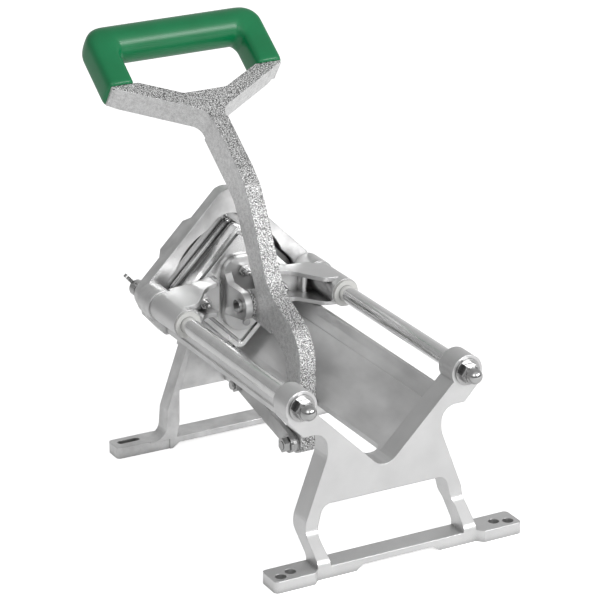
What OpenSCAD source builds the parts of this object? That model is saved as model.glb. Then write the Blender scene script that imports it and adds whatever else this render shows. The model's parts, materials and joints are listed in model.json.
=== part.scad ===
// French fry cutter: a lever drives a pusher along two guide rods and
// presses a potato, lying in a V trough, through a square grid of blades.
// X runs across the cutter, +Y from the rear frame to the blades, Z up.
// The origin lies on the bench, midway between the rear outer foot holes.

/* [Guide rods] */
// Distance between the two guide rods
rod_spacing = 165; // [155:1:172]
// Diameter of the guide rods
rod_d = 16; // [12:0.5:18]
// Height of the rod axes above the bench
rod_h = 154; // [150:1:165]
// Diameter of the threaded rod ends
stud_d = 10; // [8:1:10]

/* [Frames] */
// Clear distance between the two frames
bay_length = 261; // [250:1:290]
// Depth of the rear frame along the rods
rear_depth = 23; // [18:1:28]
// Depth of the front frame's legs
front_depth = 17; // [14:0.5:18]
// Depth of the front frame's diamond ring
ring_depth = 13.5; // [13:0.1:14.5]
// Radius of the bosses that hold the rods
boss_r = 15.3; // [13:0.1:17]
// Drop from the rod axes to where the V's two sides would meet
v_drop = 76.5; // [75:0.5:78]
// Rounding of the bottom of the V
v_round = 15; // [8:1:20]
// Drop from the rod axes to the top of the windows
window_drop = 96; // [94:1:102]
// Half width of the frames across the legs
leg_half = 80; // [76:1:84]
// Half diagonal of the diamond ring, outside
ring_out = 100; // [99:0.5:102]
// Half diagonal of the ring's square opening
ring_in = 79; // [78.5:0.1:80]
// Radius of the round opening that widens the square one
ring_r = 60.6; // [60:0.1:61.4]

/* [Feet] */
// Half length of the feet across the cutter
foot_half = 124.3; // [120:0.5:135]
// Thickness of the feet
foot_thick = 11; // [8:0.5:14]
// Height of the relief under the cross beams
relief = 5; // [3:0.5:7]
// Diameter of the rear foot holes
foot_hole_d = 10; // [8:0.5:10.5]
// Distance between the outer rear foot holes
outer_hole_spacing = 229.6; // [225:0.2:232]
// Distance between the inner rear foot holes
inner_hole_spacing = 205.8; // [200:0.2:207]
// How far the inner holes lie in front of the outer ones
hole_stagger = 4.8; // [3:0.2:6]
// Distance between the front foot slots
slot_spacing = 214.4; // [210:0.2:218]
// Length of a front foot slot, end to end
slot_length = 22.7; // [18:0.1:24]
// Width of a front foot slot
slot_width = 6.8; // [5:0.1:8]

/* [Trough] */
// Wall thickness of the trough
trough_wall = 4; // [3:0.2:5]
// Half width of the trough across its outer skirts
trough_half = 65.5; // [63:0.5:67]
// Drop from the rod axes to the trough's rim
rim_drop = 14.3; // [14.1:0.1:17]
// Width of the slot that the lever passes through
lever_slot = 21; // [20:0.5:24]
// Length of the lever slot
lever_slot_len = 173; // [168:1:176]

/* [Blades] */
// Distance between neighbouring blades
blade_pitch = 12.7; // [11:0.1:12.7]
// Thickness of a blade
blade_thick = 0.8; // [0.5:0.1:1]
// Depth of a blade along the rods
blade_depth = 6; // [5:0.5:7]
// Blades in each direction
blade_count = 6; // [4:2:6]

/* [Pusher] */
// Side of the square pusher
pusher_side = 91; // [86:1:92]
// Height of the pusher's centre above the rod axes
pusher_rise = 2.2; // [0:0.2:3]
// Thickness of the cast pusher plate
plate_thick = 10; // [8:0.5:12]
// Side of the square of pegs that enters the blades
peg_side = 84; // [80:1:85]
// Length of the pegs
peg_length = 13.5; // [12:0.5:14.5]
// Gap between a peg and a blade
peg_gap = 0.9; // [0.5:0.1:1.2]

/* [Carriage] */
// Outer radius of the slide housings
housing_r = 13.6; // [12.5:0.1:14.5]
// Length of the slide housings
housing_length = 51; // [40:1:60]
// Outer diameter of the slide bushings
bushing_d = 21; // [20:0.5:22]

/* [Lever] */
// Width of the lever
lever_w = 16; // [14:0.5:17]
// How far the lever pivot lies behind the pusher plate
pivot_back = 37; // [35:0.5:40]
// Diameter of the pivot pin
pin_d = 10; // [8:0.5:12]
// Lean of the handle from the vertical
head_lean = 55; // [50:1:60]
// Depth of the handle casting
head_thick = 27; // [24:0.5:30]
// Half width of the handle across its grip
grip_half = 91.6; // [86:0.2:98]
// Diameter of the grip's bar
grip_d = 37; // [34:0.5:40]
// Wall thickness of the soft grip
grip_wall = 3; // [2:0.2:4]

/* [Link] */
// Thickness of the link bar
link_thick = 4.5; // [4:0.1:5]
// Width of the link bar
link_w = 16; // [14:0.5:17]
// Diameter of the link bolts
link_bolt_d = 8; // [6:0.5:8]

/* [Hidden] */
$fn = 48;

eps = 0.01;          // overlap that makes cuts go right through
run_gap = 0.05;      // radial clearance of a running fit
seat_gap = 0.1;      // radial clearance of a seated fit
side_gap = 0.3;      // clearance between parts that swing past each other

// Places along Y
rear_y = 20.8;                           // rear face of the rear frame
bay_rear = rear_y + rear_depth;          // front face of the rear frame
bay_front = bay_rear + bay_length;       // where the space between the frames ends
leg_rear = bay_front + 3;                // rear face of the front legs
leg_front = leg_rear + front_depth;
ring_rear = bay_front + 10.8;            // rear face of the diamond ring
ring_front = ring_rear + ring_depth;
rod_x = rod_spacing / 2;

// Heights that follow the rods
v_floor = rod_h - v_drop;
window_top = rod_h - window_drop;
rim_h = rod_h - rim_drop;

// Trough, as far as the frames follow it
crease = 50.5;                                   // where the V ends and the shoulders start
nose_half = crease + 2;
v_under = v_floor - trough_wall * sqrt(2);       // where the V's undersides would meet
under_r = v_round + trough_wall;

// Holder and blades
pad_proud = 7.8;                         // how far the locating pads stand in front of the ring
pad_width = 4.6;
holder_rear = ring_front - blade_depth - 1;
holder_front = ring_front + pad_proud;
holder_half = ring_out - pad_width * sqrt(2) - 0.4;     // half diagonal of its front half
blade_open = peg_side / 2 + 1;           // half side of the blade opening
blade_grip = 8;                          // length of a blade end in the holder
cell_half = blade_open + blade_grip + 3; // half side of the holder's rear half
screw_out = 65;                          // holder screws above and below the rods' height
wing_thick = 3.4;

// Pusher and carriage at rest, which is the forward stop
plate_y = bay_front - 10;
block_y = plate_y + plate_thick;
block_front = holder_rear - 0.6;         // where the pegs start
pusher_z = rod_h + pusher_rise;
pivot = [plate_y - pivot_back, rod_h];
housing_front = bay_front - 14;
housing_rear = housing_front - housing_length;
bolt_x = 40.5;                           // bolts that hold the slide arms
bolt_z = rod_h - 3.5;
bracket_bolt = [1, rod_h + 21.5];
bracket_screw = [3, rod_h - 31];

// Lever and link
link_rear = pivot + [-87, -107];         // open pivot at the lever's foot
link_front = [bay_front - 33, v_floor - 8.5];    // fixed pivot on the front frame
link_x = -lever_w / 2 - 1.5 - link_thick;
head = pivot + [87.5, 151];              // middle of the stem below the handle

aluminium = "silver";
steel = "gainsboro";
vinyl = "seagreen";
plastic = "whitesmoke";

// ---------- outlines ----------
function unit(v) = v / norm(v);
function turn(a) = a > 180 ? a - 360 : a < -180 ? a + 360 : a;

// Points of one corner q = [x, y, radius] between its neighbours p and s
function corner(p, q, s) =
    q[2] == 0 ? [[q.x, q.y]] :
    let (at = [q.x, q.y],
         a = unit([p.x, p.y] - at),
         b = unit([s.x, s.y] - at),
         half = acos(a * b) / 2,
         c = at + unit(a + b) * q[2] / sin(half),
         from = at + a * q[2] / tan(half) - c,
         to = at + b * q[2] / tan(half) - c,
         start = atan2(from.y, from.x),
         sweep = turn(atan2(to.y, to.x) - start),
         steps = max(2, ceil(abs(sweep) / 15)))
    [for (i = [0:steps]) c + q[2] * [cos(start + sweep * i / steps), sin(start + sweep * i / steps)]];

// Outline through corner points [x, y, radius]
function rounded(pts) =
    let (n = len(pts))
    [for (i = [0:n - 1]) each corner(pts[(i + n - 1) % n], pts[i], pts[(i + 1) % n])];

// Corner points of an outline that is the same on both sides of x = 0
function both_sides(half) =
    concat(half, [for (i = [len(half) - 1:-1:0]) if (half[i].x != 0) [-half[i].x, half[i].y, half[i][2]]]);

module outline(pts) polygon(rounded(pts));
module symmetric(half) polygon(rounded(both_sides(half)));

// ---------- placing ----------
// A flat shape in X and Z, extruded from y0 to y1
module along_y(y0, y1) translate([0, y1, 0]) rotate([90, 0, 0]) linear_extrude(y1 - y0) children();
// A flat shape in Y and Z, extruded from x0 to x1
module along_x(x0, x1) translate([x0, 0, 0]) rotate([90, 0, 90]) linear_extrude(x1 - x0) children();
module bar_y(x, z, y0, y1, r) translate([x, y0, z]) rotate([-90, 0, 0]) cylinder(h = y1 - y0, r = r);
module bar_x(at, x0, x1, r) translate([x0, at.x, at.y]) rotate([0, 90, 0]) cylinder(h = x1 - x0, r = r);
module pair() {
    children();
    mirror([1, 0, 0]) children();
}
// Square of a half diagonal, standing on a corner about the rod axes' height
module diamond(half, r, z = rod_h) translate([0, z]) rotate(45) outline([
    for (s = [[1, 1], [-1, 1], [-1, -1], [1, -1]]) [s.x * half / sqrt(2), s.y * half / sqrt(2), r]]);

// ---------- frames ----------
// Right half of a leg and web up to the arm, from the bench
function leg_half_outline(waist, foot) = [
    [rod_x + boss_r - 2, rod_h, 0],
    [rod_x + boss_r - 2, rod_h - 11.7, 7],
    [80.6, rod_h - 28.4, 2],
    [waist, rod_h - 28.4, 14],
    [waist, rod_h - 51.1, 20],
    [foot - 1.5, 45, 20],
    [foot, 30, 10],
    [foot, 0, 0]];

module window() symmetric([[62, window_top, 10], [68.6, 30, 6], [66, -1, 0]]);

// Cross beam of a frame with its relief underneath
module beam(y0, y1, foot_end) along_y(y0, y1) symmetric([
    [70, foot_thick, 0], [70, 0, 0], [foot_end, 0, 1], [foot_end - 7, relief, 1]]);

module foot_holes() {
    pair() {
        for (h = [[outer_hole_spacing / 2, 0], [inner_hole_spacing / 2, hole_stagger]])
            translate([h.x, h.y, -1]) cylinder(h = foot_thick + 2, d = foot_hole_d);
    }
}

module rear_frame() color(aluminium) {
    foot_rear = rear_y - 29.6;
    foot_front = rear_y - 2.7;
    beam_rear = rear_y - 24;
    kink_top = 35;
    kink_low = 15;
    difference() {
        union() {
            intersection() {
                along_y(beam_rear, bay_rear) difference() {
                    symmetric(concat([[0, v_floor, v_round],
                        [rod_x - 8, v_floor + rod_x - 8, 0]], leg_half_outline(57, leg_half)));
                    window();
                }
                along_x(-leg_half - 40, leg_half + 40) outline([
                    [rear_y, 200, 0], [rear_y, kink_top, 8], [beam_rear, kink_low, 8], [beam_rear, 0, 0],
                    [beam_rear + rear_depth - 1, 0, 0], [beam_rear + rear_depth - 1, kink_low, 8],
                    [bay_rear, kink_top, 8], [bay_rear, 200, 0]]);
            }
            pair() bar_y(rod_x, rod_h, rear_y, bay_rear, boss_r);
            beam(beam_rear, foot_front, 42);
            pair() linear_extrude(foot_thick) outline([
                [66, beam_rear, 0], [leg_half, beam_rear, 1], [leg_half + 5.6, foot_rear, 1],
                [foot_half, foot_rear, 4], [foot_half, foot_front, 4], [66, foot_front, 0]]);
        }
        // Pocket in the web's inner side
        along_y(rear_y + 7, bay_rear + 1) symmetric([
            [0, v_floor - 9, 12], [50, v_floor + 41, 6], [50, rod_h - 50, 8], [59, window_top + 7, 4]]);
        pair() {
            bar_y(rod_x, rod_h, rear_y + 6, bay_rear + 1, rod_d / 2 + run_gap);
            bar_y(rod_x, rod_h, rear_y - 1, rear_y + 7, stud_d / 2 + run_gap);
        }
        foot_holes();
    }
}

// Space under which the trough rests, open at its top
module trough_room() symmetric([
    [0, v_under - side_gap * sqrt(2), under_r], [nose_half + side_gap, v_under + nose_half, 0],
    [nose_half + side_gap, v_floor + crease, 0], [0, rod_h, 0]]);

// The ring's opening: a square and a circle in one, and the seat of the trough
module ring_opening() {
    diamond(ring_in, 22);
    translate([0, rod_h]) circle(r = ring_r, $fn = 96);
    trough_room();
}

module front_frame() color(aluminium) {
    foot_rear = bay_front + 5.8;
    foot_front = bay_front + 26.4;
    pad_base = 24;                           // half length of a locating pad at the ring
    pad_top = 17;
    slot_y = bay_front + 16.8;
    web_rear = leg_rear + 3;
    web_front = web_rear + 7;
    leg_top = rod_h - 51;                    // where the legs step forward into the ring
    arm_low = rod_h - 41.5;                  // shelf from which the arms rise to the rods
    lug_r = 9.3;
    lug_right = 4.5;
    difference() {
        union() {
            // Diamond ring, and the arms that carry it on the legs
            along_y(ring_rear, ring_front) difference() {
                union() {
                    diamond(ring_out, 15);
                    pair() outline([
                        [60, rod_h - 20, 0], [86.6, rod_h - 6, 0], [86.6, rod_h - 19.5, 4],
                        [68.8, arm_low + 1.5, 4], [45.5, arm_low, 12], [51, rod_h - 57, 0],
                        [46, rod_h - 57, 0], [40, rod_h - 50, 0]]);
                }
                ring_opening();
            }
            // Locating pads on the four sides of the ring
            for (a = [45:90:315]) translate([0, 0, rod_h]) rotate([0, a, 0])
                along_x(ring_out / sqrt(2) - pad_width, ring_out / sqrt(2)) polygon([
                    [ring_front - 1, -pad_base], [ring_front, -pad_base], [ring_front + pad_proud, -pad_top],
                    [ring_front + pad_proud, pad_top], [ring_front, pad_base], [ring_front - 1, pad_base]]);
            pair() along_y(leg_rear, leg_front) outline([
                [46, leg_top, 0], [49.4, leg_top, 0], [72, 39.5, 12], [74.5, foot_thick, 12],
                [90.5, foot_thick, 0], [90.5, foot_thick - 1, 0], [62.5, foot_thick - 1, 0],
                [62, 13, 4], [59.6, 26, 10], [59, window_top - 1, 8], [47, rod_h - 59, 4]]);
            along_y(web_rear, web_front) difference() {
                symmetric([[61, window_top - 1, 0], [47, rod_h - 54, 0], [40, rod_h - 41, 0]]);
                trough_room();
            }
            beam(leg_rear, foot_front, 67);
            pair() linear_extrude(foot_thick) outline([
                [66, foot_rear - 2, 0], [foot_half, foot_rear - 1, 4],
                [foot_half, foot_front, 4], [66, foot_front, 0]]);
            pair() bar_y(rod_x, rod_h, housing_front, ring_rear + eps, boss_r - 0.3);
            // Lug that carries the link's front pivot
            along_x(link_x + link_thick, lug_right) outline([
                [web_rear + 1, link_front.y + lug_r, 0], [link_front.x - 2, link_front.y + lug_r, 8],
                [link_front.x - lug_r, link_front.y, 8], [link_front.x - 2, link_front.y - lug_r, 8],
                [web_rear + 1, link_front.y - 10.5, 0]]);
        }
        pair() {
            bar_y(rod_x, rod_h, housing_front - 1, ring_rear + 4, rod_d / 2 + run_gap);
            bar_y(rod_x, rod_h, ring_rear + 3, ring_front + 1, stud_d / 2 + run_gap);
            // Slot in the foot
            translate([slot_spacing / 2, slot_y, -1]) {
                straight = slot_length - slot_width;
                for (s = [-1, 1]) translate([s * straight / 2, 0, 0]) cylinder(h = foot_thick + 2, d = slot_width);
                translate([-straight / 2, -slot_width / 2, 0]) cube([straight, slot_width, foot_thick + 2]);
            }
        }
        bar_x(link_front, -30, 30, link_bolt_d / 2 + run_gap);
    }
}

// ---------- guide rods ----------
module guide_rod() color(steel) {
    bar_y(rod_x, rod_h, rear_y + 6, ring_rear + 4, rod_d / 2);
    bar_y(rod_x, rod_h, rear_y - 11, rear_y + 6 + eps, stud_d / 2);
    bar_y(rod_x, rod_h, ring_rear + 4 - eps, holder_front + 13, stud_d / 2);
}
module guide_rod_left() mirror([1, 0, 0]) guide_rod();
module guide_rod_right() guide_rod();

module rod_washers() color(steel) pair() difference() {
    bar_y(rod_x, rod_h, rear_y - 2, rear_y, 12);
    bar_y(rod_x, rod_h, rear_y - 3, rear_y + 1, stud_d / 2 + seat_gap);
}

module acorn_nuts() color(steel) pair() {
    nut_face = rear_y - 2;
    dome_r = 7.4;
    difference() {
        union() {
            translate([rod_x, nut_face - 8, rod_h]) rotate([-90, 0, 0])
                cylinder(h = 8, d = 18.5, $fn = 6);
            bar_y(rod_x, rod_h, nut_face - 10, nut_face - 4, dome_r);
            translate([rod_x, nut_face - 10, rod_h]) sphere(r = dome_r);
        }
        bar_y(rod_x, rod_h, rear_y - 11.5, rear_y, stud_d / 2 + run_gap);
    }
}

module wing_nuts() color(steel) for (x = [-rod_x, rod_x]) {
    nut_y = holder_front;
    hub_r = 8;
    difference() {
        union() {
            bar_y(x, rod_h, nut_y, nut_y + 10, hub_r);
            translate([x, 0, rod_h]) for (a = [130, 310]) rotate([0, -a, 0])
                translate([0, nut_y + 5, -wing_thick / 2]) linear_extrude(wing_thick) outline([
                    [hub_r - 3, -3, 0], [hub_r + 5, -3, 3], [hub_r + 13, -1, 3], [hub_r + 13, 5, 3],
                    [hub_r + 7, 5, 3], [hub_r - 3, 4, 2]]);
        }
        bar_y(x, rod_h, nut_y - 1, nut_y + 11, stud_d / 2 + run_gap);
    }
}

// ---------- trough ----------
module trough() color(aluminium) {
    skirt_in = trough_half - 3.5;
    lip = 1.5;
    skirt_low = rim_h - 24;
    difference() {
        union() {
            along_y(bay_rear, ring_rear) symmetric([
                [0, v_floor, v_round], [crease, v_floor + crease, 1],
                [crease + 1, v_floor + crease - 0.8, 0], [crease + 7, rim_h - 6.6, 9],
                [skirt_in, rim_h, 1.2], [trough_half, rim_h, 1.2], [trough_half, skirt_low + 6, 0],
                [trough_half + lip, skirt_low + 5, 0.5], [trough_half + lip, skirt_low, 0.5],
                [skirt_in, skirt_low, 0.5], [skirt_in, v_under + skirt_in, 2], [0, v_under, under_r]]);
            // Nose that carries the V through the front frame to the blades
            along_y(ring_rear - 1, holder_rear) symmetric([
                [0, v_floor, v_round], [crease, v_floor + crease, 1],
                [nose_half, v_floor + crease - 1, 1], [nose_half, v_under + nose_half, 1],
                [0, v_under, under_r]]);
        }
        translate([0, 0, v_under - 5]) linear_extrude(trough_half) outline([
            [lever_slot / 2, bay_rear + 4, 5], [lever_slot / 2, bay_rear + 4 + lever_slot_len, 5],
            [-lever_slot / 2, bay_rear + 4 + lever_slot_len, 5], [-lever_slot / 2, bay_rear + 4, 5]]);
    }
}

// ---------- blades ----------
// Everything between y0 and y1 in the blades' own square, for blade k of a set
module blade_strip(k, half, y0, y1, extra) {
    u = (k - (blade_count - 1) / 2) * blade_pitch;
    translate([u - blade_thick / 2 - extra, y0, -half - extra])
        cube([blade_thick + 2 * extra, y1 - y0, 2 * half + 2 * extra]);
}
module blade_set(tilt, y0, y1, extra = 0) translate([0, 0, pusher_z]) rotate([0, tilt, 0])
    for (k = [0:blade_count - 1]) blade_strip(k, blade_open + blade_grip, y0, y1, extra);

// What both halves of the holder leave free
module holder_holes(y0, y1) {
    along_y(y0 - 1, y1 + 1) diamond(blade_open * sqrt(2), 6, pusher_z);
    pair() bar_y(rod_x, rod_h, y0 - 1, y1 + 1, stud_d / 2 + seat_gap);
    for (s = [-1, 1]) bar_y(0, rod_h + s * screw_out, y0 - 1, y1 + 1, 2 + seat_gap);
}

module blade_holder_rear() color(aluminium) difference() {
    along_y(holder_rear, ring_front) diamond(cell_half * sqrt(2), 18);
    holder_holes(holder_rear, ring_front);
    blade_set(45, ring_front - blade_depth, ring_front + 1, 0.05);
}
module blade_holder_front() color(aluminium) difference() {
    along_y(ring_front, holder_front) diamond(holder_half, 8);
    holder_holes(ring_front, holder_front);
    blade_set(-45, ring_front - 1, ring_front + blade_depth, 0.05);
}
module blades_rising() color(steel) blade_set(45, ring_front - blade_depth, ring_front - 0.02);
module blades_falling() color(steel) blade_set(-45, ring_front + 0.02, ring_front + blade_depth);

module holder_screws() color(steel) for (s = [-1, 1]) {
    bar_y(0, rod_h + s * screw_out, holder_rear - 0.5, holder_front + eps, 2);
    bar_y(0, rod_h + s * screw_out, holder_front, holder_front + 2.5, 4);
}

// ---------- carriage ----------
// One slide arm: housing, back wall against the pusher plate and two flanges
module slide_arm() color(aluminium) difference() {
    arm_in = 30.5;
    flange = 4;
    rib_x = 62;
    union() {
        bar_y(rod_x, rod_h, housing_rear, housing_front, housing_r);
        along_y(plate_y - 5, plate_y) outline([
            [24, rod_h + 18, 4], [48, rod_h + 16, 8], [rod_x, rod_h + housing_r, 0],
            [rod_x, rod_h - housing_r, 0], [50, rod_h - 13, 8], [24, rod_h - 17, 4]]);
        // Channel between two flanges that widen towards the housing
        intersection() {
            along_y(housing_rear, plate_y) difference() {
                outline([[arm_in, rod_h + 19.5, 3], [48, rod_h + 16, 8], [rod_x, rod_h + housing_r, 0],
                    [rod_x, rod_h - housing_r, 0], [50, rod_h - 13, 8], [arm_in, rod_h - 16, 3]]);
                outline([[arm_in - 10, rod_h + 17, 0], [47, rod_h + 16 - flange, 6],
                    [rod_x - 8, rod_h + housing_r - flange, 0], [rod_x - 8, rod_h - housing_r + flange, 0],
                    [49, rod_h - 13 + flange, 6], [arm_in - 10, rod_h - 13, 0]]);
            }
            linear_extrude(rod_h + 40) outline([
                [arm_in, plate_y, 0], [arm_in, plate_y - 18, 4], [45, plate_y - 18, 14],
                [66, housing_rear + 9, 10], [rod_x, housing_rear + 7, 0], [rod_x, plate_y, 0]]);
        }
        // Rib across the channel
        translate([0, 0, rod_h - 12]) linear_extrude(25) outline([
            [rib_x - 3.5, plate_y - 4, 0], [rib_x - 3.5, plate_y - 15, 3.4],
            [rib_x + 3.5, plate_y - 15, 3.4], [rib_x + 3.5, plate_y - 4, 0]]);
    }
    bar_y(rod_x, rod_h, housing_rear - 1, housing_front + 1, bushing_d / 2 + seat_gap);
    bar_y(rod_x, rod_h, housing_front, plate_y + 1, boss_r + 1);
    bar_y(bolt_x, bolt_z, plate_y - 6, plate_y + 1, 3 + seat_gap);
}
module slide_arm_left() mirror([1, 0, 0]) slide_arm();
module slide_arm_right() slide_arm();

module bushing() color(plastic) difference() {
    union() {
        bar_y(rod_x, rod_h, housing_rear, housing_front, bushing_d / 2);
        bar_y(rod_x, rod_h, housing_rear - 2.5, housing_rear, housing_r - 1);
    }
    bar_y(rod_x, rod_h, housing_rear - 3, housing_front + 1, rod_d / 2 + run_gap);
}
module bushing_left() mirror([1, 0, 0]) bushing();
module bushing_right() bushing();

module pusher_plate() color(aluminium) difference() {
    along_y(plate_y, block_y) diamond(pusher_side / sqrt(2), 8, pusher_z);
    pair() bar_y(bolt_x, bolt_z, plate_y - 1, block_y + 1, 3 + seat_gap);
    bar_y(bracket_bolt.x, bracket_bolt.y, plate_y - 1, block_y + 1, 3 + seat_gap);
    bar_y(bracket_screw.x, bracket_screw.y, plate_y - 1, block_y + 1, 2 + seat_gap);
    // Groove inside the rim of the rear face
    along_y(plate_y - 1, plate_y + 2.5) difference() {
        diamond(pusher_side / sqrt(2) - 4.5 * sqrt(2), 5, pusher_z);
        diamond(pusher_side / sqrt(2) - 7.5 * sqrt(2), 3, pusher_z);
    }
}

module peg_block() color("lightgray") {
    band = [block_front - 8.5, block_front - 1.5];       // shallow groove around the block
    along_y(block_y, band[0] + eps) diamond(pusher_side / sqrt(2), 8, pusher_z);
    along_y(band[0], band[1]) diamond((pusher_side - 2) / sqrt(2), 7, pusher_z);
    along_y(band[1] - eps, block_front) diamond(pusher_side / sqrt(2), 8, pusher_z);
    difference() {
        along_y(block_front - eps, block_front + peg_length) diamond(peg_side / sqrt(2), 5, pusher_z);
        for (tilt = [45, -45]) translate([0, 0, pusher_z]) rotate([0, tilt, 0])
            for (k = [0:blade_count - 1])
                translate([(k - (blade_count - 1) / 2) * blade_pitch - blade_thick / 2 - peg_gap,
                           block_front, -pusher_side])
                    cube([blade_thick + 2 * peg_gap, peg_length + 1, 2 * pusher_side]);
    }
}

module hex_bolt(at, seat) {
    bar_y(at.x, at.y, seat - 10, block_y, 3);
    translate([at.x, seat - 10, at.y]) sphere(r = 3);
    translate([at.x, seat - 4.5, at.y]) rotate([-90, 0, 0]) cylinder(h = 4.5, d = 11.5, $fn = 6);
}
module pusher_bolts() color(steel) pair() hex_bolt([bolt_x, bolt_z], plate_y - 5);

module pivot_bracket() color(aluminium) {
    pad_rear = plate_y - 6;
    hub_r = 13.5;
    ear_in = lever_w / 2 + 4.2;
    ear_out = ear_in + 7;
    difference() {
        union() {
            along_y(pad_rear, plate_y) outline([
                [19.5, rod_h + 35, 15], [-19.5, rod_h + 35, 15],
                [-19.5, rod_h - 38.5, 19], [19.5, rod_h - 38.5, 19]]);
            pair() {
                bar_x(pivot, ear_in, ear_out, hub_r);
                along_x(ear_in, ear_out) outline([
                    [pivot.x, pivot.y - hub_r, 0], [pad_rear + 1, rod_h - 19, 0],
                    [pad_rear + 1, rod_h + 22, 0], [pad_rear - 1, rod_h + 22, 1],
                    [pad_rear - 7, pivot.y + hub_r, 6], [pivot.x, pivot.y + hub_r, 0]]);
            }
        }
        bar_x(pivot, -40, 40, pin_d / 2 + run_gap);
        bar_y(bracket_bolt.x, bracket_bolt.y, pad_rear - 1, plate_y + 1, 3 + seat_gap);
        bar_y(bracket_screw.x, bracket_screw.y, pad_rear - 1, plate_y + 1, 2 + seat_gap);
    }
}

module bracket_screws() color(steel) {
    hex_bolt(bracket_bolt, plate_y - 6);
    bar_y(bracket_screw.x, bracket_screw.y, plate_y - 7, block_y, 2);
    bar_y(bracket_screw.x, bracket_screw.y, plate_y - 8, plate_y - 6, 3.4);
}

module pivot_pin() color(steel) {
    reach = lever_w / 2 + 4.2 + 7;
    bar_x(pivot, -reach, reach + 4, pin_d / 2);
    bar_x(pivot, -reach - 3.5, -reach, pin_d / 2 + 1.5);
}
module pivot_clip() color(steel) {
    reach = lever_w / 2 + 4.2 + 7;
    difference() {
        bar_x(pivot, reach, reach + 1.5, pin_d / 2 + 2.5);
        bar_x(pivot, reach - 1, reach + 2, pin_d / 2 + run_gap);
    }
}

// ---------- lever ----------
// Frame of the handle: x across, then along the stem, then out of its rear face
module on_head() translate([0, head.x, head.y]) rotate([90 - head_lean, 0, 0]) children();

// The handle's core: arms of the Y and the loop that the grip covers
grip_t = 106;                                  // distance of the grip bar from the stem's end
grip_low = 49;                                 // where the grip starts
core_half = grip_half - grip_wall;
core_bar = 21.6;                               // width of the loop's side bars
core_thick = head_thick - 4;
module head_core(gap = 0) {
    pair() translate([0, 0, -core_thick / 2 - gap]) linear_extrude(core_thick + 2 * gap) outline([
        [core_half - core_bar - gap, 46, 0], [core_half + gap, 46, 0],
        [core_half + gap, grip_t - 4 + gap, 10], [core_half - core_bar - gap, grip_t - 4 + gap, 2]]);
    translate([-core_half + core_bar - 5, grip_t, 0]) rotate([0, 90, 0])
        cylinder(h = 2 * (core_half - core_bar + 5), r = grip_d / 2 - grip_wall + gap);
}
module head_casting() on_head() {
    translate([0, 0, -head_thick / 2]) linear_extrude(head_thick) difference() {
        symmetric([[lever_w / 2, -16, 0], [lever_w / 2, 4.4, 14], [80, 42.3, 10],
                   [core_half, grip_low - 0.3, 0]]);
        symmetric([[22, 28.5, 10], [core_half - core_bar, 51.5, 0]]);
    }
    head_core();
}

module lever_arm() color(aluminium) difference() {
    union() {
        along_x(-lever_w / 2, lever_w / 2) outline([for (p = [
            [-97, -118, 12], [-97, -4, 42], [-36, 23, 42], [7.3, 114, 75],
            [78.3 - 6, 160, 0], [96.7 - 6, 133.7, 0],
            [30.5, 91.5, 60], [-20.7, -2.7, 30], [-69, -27.7, 20], [-69, -118, 12]])
            [pivot.x + p.x, pivot.y + p.y, p[2]]]);
        // Hub on the pivot pin
        bar_x(pivot, -lever_w / 2 - 3.5, lever_w / 2 + 3.5, 13);
        along_x(-lever_w / 2, lever_w / 2) outline([for (p = [
            [2, -13, 0], [2, 13, 0], [-18, 22, 0], [-40, 0, 0], [-40, -16, 0]])
            [pivot.x + p.x, pivot.y + p.y, p[2]]]);
        head_casting();
    }
    bar_x(pivot, -30, 30, pin_d / 2 + run_gap);
}

module handle_grip() color(vinyl) on_head() difference() {
    side_half = (core_bar + 2 * grip_wall) / 2;
    side_x = grip_half - side_half;
    knee_r = side_half + 3.7;
    union() {
        translate([-side_x + 13, grip_t, 0]) rotate([0, 90, 0]) cylinder(h = 2 * side_x - 26, d = grip_d);
        pair() hull() {
            translate([side_x - 14, grip_t, 0]) rotate([0, 90, 0]) cylinder(h = 1, d = grip_d, $fn = 32);
            translate([grip_half - knee_r, grip_t - 2, 0]) sphere(r = knee_r, $fn = 32);
            translate([side_x, grip_low, 0]) rotate([-90, 0, 0]) linear_extrude(grip_t - grip_low - 28)
                grip_section(side_half);
        }
    }
    head_core(run_gap);
}
module grip_section(side_half) outline([for (s = [[1, 1], [-1, 1], [-1, -1], [1, -1]])
    [s.x * side_half, s.y * (head_thick / 2 + grip_wall), 8]]);

// ---------- link ----------
module link_bar() color(steel) difference() {
    span = link_rear - link_front;
    reach = norm(span);
    translate([link_x, link_front.x, link_front.y]) rotate([0, 0, 90]) rotate([90, 0, 0])
        rotate(atan2(span.y, span.x)) linear_extrude(link_thick) outline([
            [-link_w / 2, link_w / 2, link_w / 2 - eps], [reach + link_w / 2, link_w / 2, link_w / 2 - eps],
            [reach + link_w / 2, -link_w / 2, link_w / 2 - eps], [-link_w / 2, -link_w / 2, link_w / 2 - eps]]);
    for (p = [link_front, link_rear]) bar_x(p, link_x - 1, link_x + link_thick + 1, link_bolt_d / 2 + run_gap);
}

// Bolt at the open pivot: it rides on the link and stops short of the lever
module link_bolt() color(steel) bar_x(link_rear, link_x - 9, -lever_w / 2 - side_gap, link_bolt_d / 2);
module link_nut() color(steel) difference() {
    translate([link_x - 8.5, link_rear.x, link_rear.y]) rotate([0, 90, 0]) cylinder(h = 6, d = 14.5, $fn = 6);
    bar_x(link_rear, link_x - 12, link_x, link_bolt_d / 2 + run_gap);
}
module link_washers() color(steel) difference() {
    union() {
        bar_x(link_rear, link_x - 2.5, link_x, 8.5);
        bar_x(link_rear, link_x + link_thick, -lever_w / 2 - side_gap, 8.5);
    }
    bar_x(link_rear, link_x - 12, 0, link_bolt_d / 2 + run_gap);
}

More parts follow.
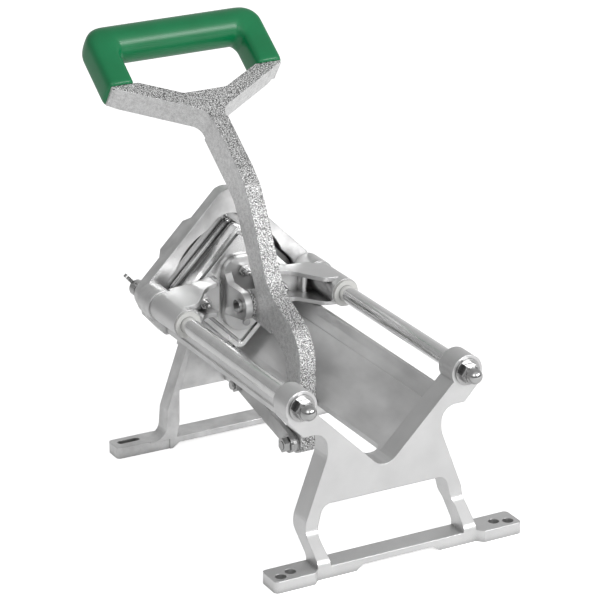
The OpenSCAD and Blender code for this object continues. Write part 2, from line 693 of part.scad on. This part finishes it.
module link_bracket_bolt() color(steel) {
    bar_x(link_front, link_x - 9, 4.5, link_bolt_d / 2);
    translate([4.5, link_front.x, link_front.y]) rotate([0, 90, 0]) cylinder(h = 5, d = 14.5, $fn = 6);
}
module link_bracket_nut() color(steel) difference() {
    translate([link_x - 6, link_front.x, link_front.y]) rotate([0, 90, 0]) cylinder(h = 6, d = 14.5, $fn = 6);
    bar_x(link_front, link_x - 12, link_x + 1, link_bolt_d / 2 + run_gap);
}

rear_frame();
front_frame();
guide_rod_left();
guide_rod_right();
rod_washers();
acorn_nuts();
wing_nuts();
trough();
blade_holder_rear();
blade_holder_front();
blades_rising();
blades_falling();
holder_screws();
link_bracket_bolt();
link_bracket_nut();
slide_arm_left();
slide_arm_right();
bushing_left();
bushing_right();
pusher_plate();
peg_block();
pusher_bolts();
pivot_bracket();
bracket_screws();
pivot_pin();
pivot_clip();
lever_arm();
handle_grip();
link_bar();
link_bolt();
link_nut();
link_washers();
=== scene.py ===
import bmesh
import bpy
import json
import math
from mathutils import Matrix, Vector


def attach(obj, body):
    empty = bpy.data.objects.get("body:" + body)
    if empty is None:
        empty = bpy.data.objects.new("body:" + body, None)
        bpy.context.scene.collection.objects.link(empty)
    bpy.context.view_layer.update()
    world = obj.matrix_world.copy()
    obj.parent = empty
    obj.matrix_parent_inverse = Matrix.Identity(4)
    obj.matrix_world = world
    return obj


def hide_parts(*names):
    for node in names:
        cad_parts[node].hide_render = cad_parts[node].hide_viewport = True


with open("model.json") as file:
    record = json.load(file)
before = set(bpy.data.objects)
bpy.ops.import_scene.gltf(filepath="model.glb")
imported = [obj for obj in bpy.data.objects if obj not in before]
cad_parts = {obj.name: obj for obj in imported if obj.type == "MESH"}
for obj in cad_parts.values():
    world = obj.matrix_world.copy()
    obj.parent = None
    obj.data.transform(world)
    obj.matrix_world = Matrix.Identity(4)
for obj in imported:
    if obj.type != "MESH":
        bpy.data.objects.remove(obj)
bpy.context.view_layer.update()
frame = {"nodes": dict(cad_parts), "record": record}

MM = 0.001
WHITE = (1, 1, 1, 1)
NOISE_RANGE = (0.3, 0.7)  # most values of a noise texture lie between these
EDGE_SAMPLES = 6  # rays for the rounded edges and the painted shade in corners

# The handle's head in the CAD model, at rest: its centre's y and z in mm, and its slope
HEAD_Y, HEAD_Z = 345.3, 305.0
HEAD_SLOPE = math.radians(35)


# ---------- camera ----------
def make_camera():
    """The photograph's view: a long lens behind the cutter, to its left and above."""
    azimuth, elevation, roll = (math.radians(a) for a in (28.306, 21.354, -0.279))
    place = Matrix.Translation((-1.16723, -1.99141, 1.14634))
    aim = (Matrix.Rotation(-azimuth, 4, "Z") @ Matrix.Rotation(math.pi / 2 - elevation, 4, "X")
           @ Matrix.Rotation(roll, 4, "Z"))
    data = bpy.data.cameras.new("camera")
    data.sensor_width = 36
    data.lens = 175.58
    data.clip_end = 100
    camera = bpy.data.objects.new("camera", data)
    camera.matrix_world = place @ aim
    bpy.context.scene.collection.objects.link(camera)
    bpy.context.scene.camera = camera


# ---------- node trees ----------
class Nodes:
    """A node tree, with short calls for the nodes that the materials and the world use."""

    def __init__(self, tree):
        self.tree = tree

    def add(self, kind, **inputs):
        """A new node. Its inputs are named by keywords, with _ for each space."""
        node = self.tree.nodes.new("ShaderNode" + kind)
        for key, value in inputs.items():
            self.put(node, key.replace("_", " "), value)
        return node

    def put(self, node, socket, value):
        """Links an output to an input, or sets the input's value."""
        if isinstance(value, bpy.types.NodeSocket):
            self.tree.links.new(value, node.inputs[socket])
        else:
            node.inputs[socket].default_value = value

    def remap(self, value, low, high, to_low, to_high):
        """The value stretched from one range to another and held inside it."""
        node = self.add("MapRange", Value=value, From_Min=low, From_Max=high,
                        To_Min=to_low, To_Max=to_high)
        return node.outputs[0]

    def math(self, operation, a, b=0.0):
        node = self.add("Math")
        node.operation = operation
        self.put(node, 0, a)
        self.put(node, 1, b)
        return node.outputs[0]

    def mix(self, factor, a, b):
        """Between the numbers a and b."""
        node = self.add("Mix")
        node.data_type = "FLOAT"
        for socket, value in ((0, factor), (2, a), (3, b)):
            self.put(node, socket, value)
        return node.outputs[0]

    def blend(self, factor, a, b, how="MIX"):
        """Between the colours a and b."""
        node = self.add("Mix")
        node.data_type = "RGBA"
        node.blend_type = how
        for socket, value in ((0, factor), (6, a), (7, b)):
            self.put(node, socket, value)
        return node.outputs[2]

    def seen_directly(self):
        """1 for rays from the camera, from gloss and through glass, else 0."""
        ray = self.add("LightPath").outputs
        by_surface = self.math("MAXIMUM", ray["Is Glossy Ray"], ray["Is Transmission Ray"])
        return self.math("MAXIMUM", ray["Is Camera Ray"], by_surface)


class Shader(Nodes):
    """A material's node tree round its Principled BSDF."""

    def __init__(self, name):
        self.mat = bpy.data.materials.new(name)
        self.mat.use_nodes = True
        super().__init__(self.mat.node_tree)
        self.main = self.tree.nodes["Principled BSDF"]
        self.where = self.add("TexCoord").outputs

    def surface(self, **inputs):
        """Fills the main shader's inputs and returns the finished material."""
        for key, value in inputs.items():
            self.put(self.main, key.replace("_", " "), value)
        return self.mat

    def noise(self, scale, detail=2.0, stretch=(1, 1, 1), rough=0.5):
        """Noise fixed to the piece, with about scale spots a metre."""
        place = self.add("Mapping", Vector=self.where["Object"], Scale=stretch)
        return self.add("TexNoise", Vector=place.outputs[0], Scale=scale, Detail=detail,
                        Roughness=rough).outputs["Fac"]

    def spread(self, noise, low, high, within=NOISE_RANGE):
        """A noise turned into numbers from low to high."""
        return self.remap(noise, *within, low, high)

    def shades(self, noise, dark, light, within=NOISE_RANGE):
        """A noise turned into colours from dark to light."""
        return self.blend(self.spread(noise, 0, 1, within), dark, light)

    def bump(self, height, strength, distance, normal):
        """The normal, disturbed by a height."""
        return self.add("Bump", Height=height, Strength=strength, Distance=distance,
                        Normal=normal).outputs[0]

    def soft_edges(self, radius):
        """The normal, with the edges rounded off by a small radius."""
        node = self.add("Bevel", Radius=radius)
        node.samples = EDGE_SAMPLES
        return node.outputs[0]

    def painted_corner_shade(self, colour, reach, depth):
        """The colour, darkened down to depth where other surfaces stand within reach: painted
        shade in corners and crevices.
        """
        node = self.add("AmbientOcclusion", Distance=reach)
        node.samples = EDGE_SAMPLES
        shade = self.remap(node.outputs["AO"], 0.25, 0.85, depth, 1.0)
        dark = self.add("CombineColor", Red=shade, Green=shade, Blue=shade)
        return self.blend(1.0, colour, dark.outputs[0], how="MULTIPLY")


def grey(value):
    return (value, value, value, 1)


# ---------- finishes ----------
def satin_casting(name, dark, light, mottle):
    """Tumbled aluminium: satin grey with a faint grain and slow changes of tone."""
    s = Shader(name)
    slow = s.noise(mottle, 3)
    fine = s.noise(1400, 2)
    return s.surface(
        Metallic=1.0,
        Base_Color=s.painted_corner_shade(s.shades(slow, grey(dark), grey(light)), 0.009, 0.4),
        Roughness=s.spread(fine, 0.34, 0.46),
        Normal=s.bump(fine, 0.12, 0.0002, s.soft_edges(0.0011)))


def polished_casting():
    """The pusher plate: polished by hand, so bright and a little wavy."""
    s = Shader("polished_aluminium")
    slow = s.noise(60, 4)
    fine = s.noise(900, 2)
    grain = s.bump(fine, 0.06, 0.0002, s.soft_edges(0.0013))
    return s.surface(
        Metallic=1.0,
        Base_Color=s.painted_corner_shade(s.shades(slow, grey(0.78), grey(0.92)), 0.008, 0.25),
        Roughness=s.spread(slow, 0.16, 0.30),
        Normal=s.bump(slow, 0.15, 0.0015, grain))


def sand_casting():
    """The lever's skin: coarse sand grain on the faces round its edge, smoother on its sides."""
    s = Shader("sand_cast_aluminium")
    normal_x, normal_y, normal_z = s.add("SeparateXYZ", Vector=s.where["Normal"]).outputs
    side = s.remap(s.math("ABSOLUTE", normal_x), 0.80, 0.93, 0, 1)
    # On the head the smooth faces are those that look back down the stem
    along = s.math("ADD", s.math("MULTIPLY", normal_y, math.cos(HEAD_SLOPE)),
                   s.math("MULTIPLY", normal_z, math.sin(HEAD_SLOPE)))
    looks_back = s.remap(along, -0.3, -0.4, 0, 1)
    z = s.add("SeparateXYZ", Vector=s.where["Object"]).outputs["Z"]
    on_head = s.remap(z, (HEAD_Z - 20) * MM, (HEAD_Z - 10) * MM, 0, 1)
    smooth = s.math("MAXIMUM", side, s.math("MULTIPLY", on_head, looks_back))

    grain = s.noise(1180, 2, rough=0.6)
    coarse = s.noise(560, 2)
    slow = s.noise(230, 3)
    rough_tone = s.shades(grain, grey(0.08), grey(1.0), within=(0.44, 0.56))
    mottle = s.math("ADD", slow, s.math("MULTIPLY", grain, 2.0))
    smooth_tone = s.shades(mottle, grey(0.68), grey(1.0), within=(1.2, 1.8))
    strength = s.remap(smooth, 0, 1, 1.0, 0.6)
    lumps = s.bump(coarse, strength, 0.0006, s.soft_edges(0.0012))
    return s.surface(
        Metallic=0.9,
        Base_Color=s.painted_corner_shade(s.blend(smooth, rough_tone, smooth_tone), 0.008, 0.6),
        Roughness=s.remap(smooth, 0, 1, 0.55, 0.42),
        Normal=s.bump(grain, strength, 0.0005, lumps))


def painted_band_casting():
    """The pusher block: bright and dark bands that run round it, one behind the other: painted
    highlights and reflections.
    """
    s = Shader("aluminium_painted_bands")
    band = s.noise(820, 2, stretch=(0.01, 1, 0.01))
    slow = s.noise(60, 3)
    # Base colour from dark to bright bands: painted reflection bands and highlight lines along the
    # block.
    tone = s.shades(band, grey(0.26), grey(0.96), within=(0.44, 0.56))
    return s.surface(
        Metallic=1.0,
        Base_Color=s.painted_corner_shade(tone, 0.010, 0.35),
        Roughness=s.spread(slow, 0.18, 0.32),
        Normal=s.bump(band, 0.25, 0.0006, s.soft_edges(0.0010)))


def trough_finish():
    """Drawn aluminium: faint streaks along the trough and broad changes of tone."""
    s = Shader("trough_aluminium")
    streak = s.noise(520, 3, stretch=(1, 0.03, 1))
    slow = s.noise(34, 3, stretch=(1, 0.5, 1))
    return s.surface(
        Metallic=0.75,
        Base_Color=s.painted_corner_shade(s.shades(slow, grey(0.67), grey(0.90)), 0.004, 0.4),
        Roughness=s.spread(s.math("ADD", streak, slow), 0.36, 0.54, within=(0.7, 1.3)),
        Normal=s.bump(streak, 0.05, 0.0002, s.soft_edges(0.0006)))


def bright_steel(name, tone, rough, edge, stretch=0.25):
    """Plated or ground steel, with marks drawn out along the rods by a small stretch."""
    s = Shader(name)
    mark = s.noise(900, 2, stretch=(1, stretch, 1))
    slow = s.noise(90, 2)
    shade = s.shades(slow, grey(tone - 0.04), grey(tone + 0.03))
    return s.surface(
        Metallic=1.0,
        Base_Color=s.painted_corner_shade(shade, 0.006, 0.25),
        Roughness=s.spread(mark, rough, rough + 0.07),
        Normal=s.bump(mark, 0.03, 0.0002, s.soft_edges(edge)))


def grip_finish():
    """Glossy green dipped vinyl."""
    s = Shader("grip_vinyl")
    slow = s.noise(35, 2)
    fine = s.noise(600, 2)
    wave = s.add("Bump", Height=slow, Strength=0.05, Distance=0.001)
    return s.surface(
        Base_Color=s.shades(slow, (0.0, 0.200, 0.066, 1), (0.0, 0.230, 0.078, 1)),
        Roughness=s.spread(fine, 0.31, 0.35),
        Specular_IOR_Level=0.6,
        Normal=wave.outputs[0])


def bushing_finish():
    """White plastic of the slide bushings."""
    s = Shader("bushing_plastic")
    slow = s.noise(120, 2)
    return s.surface(
        Base_Color=s.blend(slow, (0.66, 0.66, 0.64, 1), (0.74, 0.74, 0.72, 1)),
        Roughness=s.spread(slow, 0.30, 0.42),
        Normal=s.soft_edges(0.0006))


# ---------- handle grip ----------
def lerp(a, b, share):
    return a + (b - a) * share


def quarter_turn(x, t, radius, steps):
    """Points of an arc from up the side to across the top, in the corner at (x, t)."""
    angles = (math.pi / 2 * i / steps for i in range(steps + 1))
    return [(x - radius + radius * math.cos(a), t - radius + radius * math.sin(a)) for a in angles]


def grip_path(inset):
    """Stations along the handle's loop, each an outer point, an inner point and a bar share.

    The loop is drawn flat in mm: x across the lever, t up the handle from the head's centre.
    The bar share is 0 on the two legs and 1 along the top bar. A sleeve that lies further in
    by inset has the same stations.
    """
    leg_steps, corner_steps, bar_steps = 7, 12, 6
    foot = 49.0
    half_width, top, outer_radius = 91.6 - inset, 124.5 - inset, 23 - inset
    opening, opening_top, inner_radius = 64.0 + inset, 87.5 + inset, 6 + inset
    outer = quarter_turn(half_width, top, outer_radius, corner_steps)
    inner = quarter_turn(opening, opening_top, inner_radius, corner_steps)
    path = []
    for i in range(leg_steps):
        up = i / leg_steps
        path.append(((half_width, lerp(foot, outer[0][1], up)),
                     (opening, lerp(foot, inner[0][1], up)), 0.0))
    for i in range(corner_steps + 1):
        path.append((outer[i], inner[i], i / corner_steps))
    for i in range(1, bar_steps + 1):
        across = i / bar_steps
        path.append(((lerp(outer[-1][0], 0, across), top),
                     (lerp(inner[-1][0], 0, across), opening_top), 1.0))
    mirrored = [((-o[0], o[1]), (-p[0], p[1]), bar) for o, p, bar in reversed(path[:-1])]
    return path + mirrored


def grip_rings(inset):
    """Rings of points of a sleeve round the loop: nearly square legs and a round top bar."""
    points = 32
    leg_depth, bar_depth = 16.5 - inset, 18.5 - inset
    leg_power, bar_power = 4.2, 2.0  # of the superellipse: 2 is round, more is squarer
    place = (Matrix.Translation((0, HEAD_Y * MM, HEAD_Z * MM))
             @ Matrix.Rotation(HEAD_SLOPE, 4, "X"))
    rings = []
    for outer, inner, bar in grip_path(inset):
        bar = bar * bar * (3 - 2 * bar)
        depth = lerp(leg_depth, bar_depth, bar)
        power = 2 / lerp(leg_power, bar_power, bar)
        centre = (Vector(outer) + Vector(inner)) / 2
        reach = (Vector(outer) - Vector(inner)) / 2
        ring = []
        for j in range(points):
            angle = 2 * math.pi * j / points
            c, d = math.cos(angle), math.sin(angle)
            x, t = centre + reach * math.copysign(abs(c) ** power, c)
            ring.append(place @ (Vector((x, t, depth * math.copysign(abs(d) ** power, d))) * MM))
        rings.append(ring)
    return rings


def make_grip(material):
    """The soft vinyl sleeve over the handle, with a lip 3 mm thick at each of its two ends."""
    bm = bmesh.new()
    skin = [[bm.verts.new(point) for point in ring] for ring in grip_rings(0)]
    for a, b in zip(skin, skin[1:]):
        for j in range(len(a)):
            k = (j + 1) % len(a)
            bm.faces.new((a[j], a[k], b[k], b[j]))
    lining = grip_rings(3)
    ends = [[bm.verts.new(point) for point in lining[i]] for i in (0, -1)]
    for a, b, flip in ((skin[0], ends[0], False), (skin[-1], ends[1], True)):
        for j in range(len(a)):
            k = (j + 1) % len(a)
            quad = (a[j], b[j], b[k], a[k])
            bm.faces.new(quad[::-1] if flip else quad)
    mesh = bpy.data.meshes.new("handle_grip_skin")
    bm.to_mesh(mesh)
    bm.free()
    for face in mesh.polygons:
        face.use_smooth = True
    obj = bpy.data.objects.new("handle_grip_skin", mesh)
    bpy.context.scene.collection.objects.link(obj)
    smooth = obj.modifiers.new("smooth", "SUBSURF")
    smooth.levels = smooth.render_levels = 1
    obj.data.materials.append(material)
    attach(obj, "lever")
    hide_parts("handle_grip")


# ---------- stage and light ----------
def make_floor():
    """White for the camera. In reflections it is darker, most of all on the left."""
    s = Shader("floor")
    to_camera = s.add("LightPath").outputs["Is Camera Ray"]
    x = s.add("SeparateXYZ", Vector=s.where["Object"]).outputs["X"]
    in_gloss = s.remap(x, -0.6, -0.1, 0.04, 0.25)
    glow = s.mix(to_camera, in_gloss, 0.75)
    s.surface(
        Base_Color=(0.86, 0.86, 0.86, 1),
        Roughness=0.9,
        Emission_Color=WHITE,
        Emission_Strength=s.math("MULTIPLY", s.seen_directly(), glow))
    mesh = bpy.data.meshes.new("floor")
    r = 12
    mesh.from_pydata([(-r, -r, 0), (r, -r, 0), (r, r, 0), (-r, r, 0)], [], [(0, 1, 2, 3)])
    floor = bpy.data.objects.new("floor", mesh)
    floor.data.materials.append(s.mat)
    bpy.context.scene.collection.objects.link(floor)


def make_world():
    """White for the camera and an even grey for diffuse light.

    Gloss sees a soft studio: behind the cutter it is dark low down and bright above, elsewhere
    it is dimmer overhead and to the left.
    """
    world = bpy.data.worlds.new("studio")
    bpy.context.scene.world = world
    world.use_nodes = True
    n = Nodes(world.node_tree)
    x, y, z = n.add("SeparateXYZ", Vector=n.add("TexCoord").outputs["Generated"]).outputs
    overhead = n.remap(z, 0.0, 0.6, 0.72, 0.46)
    ahead = n.mix(n.remap(x, 0.1, -0.35, 0, 1), overhead, 0.36)
    behind = n.remap(z, 0.28, 0.40, 0.22, 0.80)
    in_gloss = n.mix(n.remap(y, -0.1, -0.5, 0, 1), ahead, behind)
    to_camera = n.add("LightPath").outputs["Is Camera Ray"]
    direct = n.mix(to_camera, in_gloss, 1.0)
    sky = n.tree.nodes["Background"]
    n.put(sky, "Color", WHITE)
    n.put(sky, "Strength", n.mix(n.seen_directly(), 0.4, direct))


def make_lamp(name, place, aim, size, power):
    """A rectangular lamp of so many watts; size is its width and height in metres."""
    data = bpy.data.lights.new(name, "AREA")
    data.shape = "RECTANGLE"
    data.size, data.size_y = size
    data.energy = power
    lamp = bpy.data.objects.new(name, data)
    lamp.location = place
    lamp.rotation_euler = (Vector(aim) - Vector(place)).to_track_quat("-Z", "Y").to_euler()
    bpy.context.scene.collection.objects.link(lamp)


make_camera()

# Finishes by the record's material slots, or by a node's own name where that looks different
finish = {
    "cast_aluminium": satin_casting("cast_aluminium", 0.72, 0.80, 28),
    # The front frame's copy spreads wider and reaches darker tones than the rear frame's: painted
    # shade, where the machine shadows the front frame.
    "front_frame": satin_casting("front_aluminium_painted_shade", 0.65, 0.85, 60),
    "sand_cast_aluminium": sand_casting(),
    "polished_aluminium": polished_casting(),
    "peg_block": painted_band_casting(),
    "polished_rod": bright_steel("polished_rod", 0.84, 0.12, 0.0006, stretch=0.02),
    "plated_hardware": bright_steel("plated_hardware", 0.52, 0.07, 0.0006),
    "link_steel": bright_steel("link_steel", 0.55, 0.30, 0.0008),
    "blade_steel": bright_steel("blade_steel", 0.72, 0.16, 0.0002),
    "bushing_plastic": bushing_finish(),
    "grip_vinyl": grip_finish(),
    "trough": trough_finish(),
}
slots = {part["node"]: part["material_slot"] for part in frame["record"]["subparts"]}
for node, obj in frame["nodes"].items():
    obj.data.materials.clear()
    obj.data.materials.append(finish[node if node in finish else slots[node]])

make_grip(finish["grip_vinyl"])
make_floor()
make_world()
make_lamp("key", (-1.6, -2.2, 2.0), (0, 0.2, 0.15), (1.8, 1.8), 12)
make_lamp("right", (1.35, -2.1, 1.55), (0, 0.35, 0.4), (2.2, 0.8), 44)
bpy.context.scene.view_settings.view_transform = "Standard"
